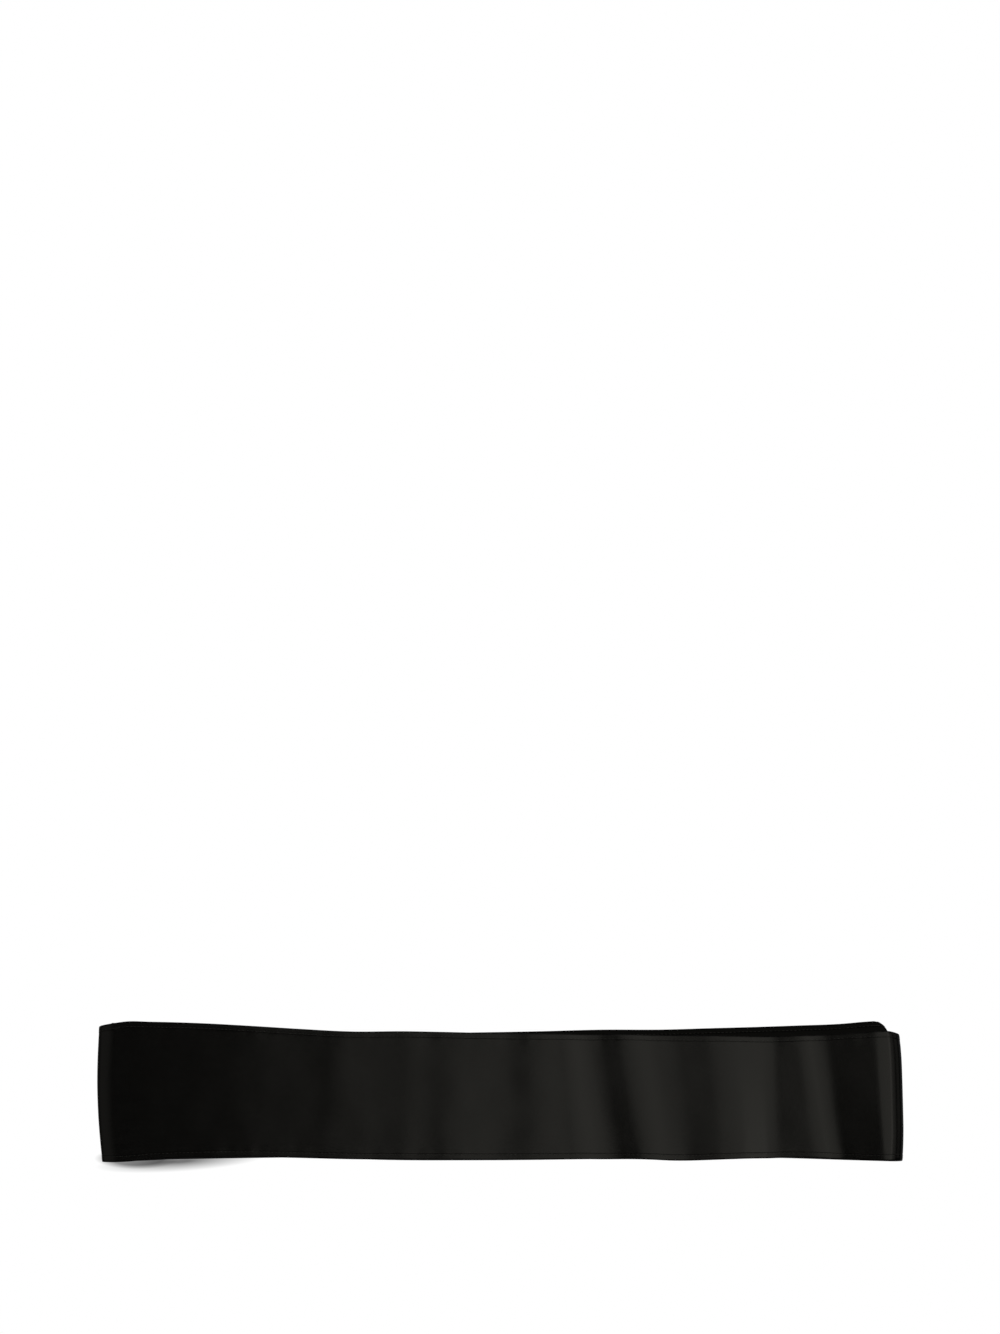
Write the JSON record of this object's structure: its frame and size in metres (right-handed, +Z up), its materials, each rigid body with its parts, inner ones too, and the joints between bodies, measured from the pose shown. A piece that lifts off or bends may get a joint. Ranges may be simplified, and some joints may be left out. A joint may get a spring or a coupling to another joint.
{
  "type": "folded satin sash",
  "caption": "Long narrow satin sash with stitched hems, folded in half twice and laid flat in a long low stack, ready to lie on a shelf or table.",
  "frame": {"origin": "on the surface that the sash lies on, under the middle of the folded stack", "axes": "+X along the sash to the end with the outer turn, +Y to its back edge, where the second run shows, +Z up"},
  "size_m": [0.4975, 0.0907, 0.0109],
  "materials": {
    "satin_face": "black satin, the smooth side with a soft sheen",
    "satin_back": "black satin, the dull side"
  },
  "bodies": {
    "root": {"top_run": "satin_face", "second_run": "satin_back", "hidden_runs": "satin_back"}
  },
  "joints": []
}
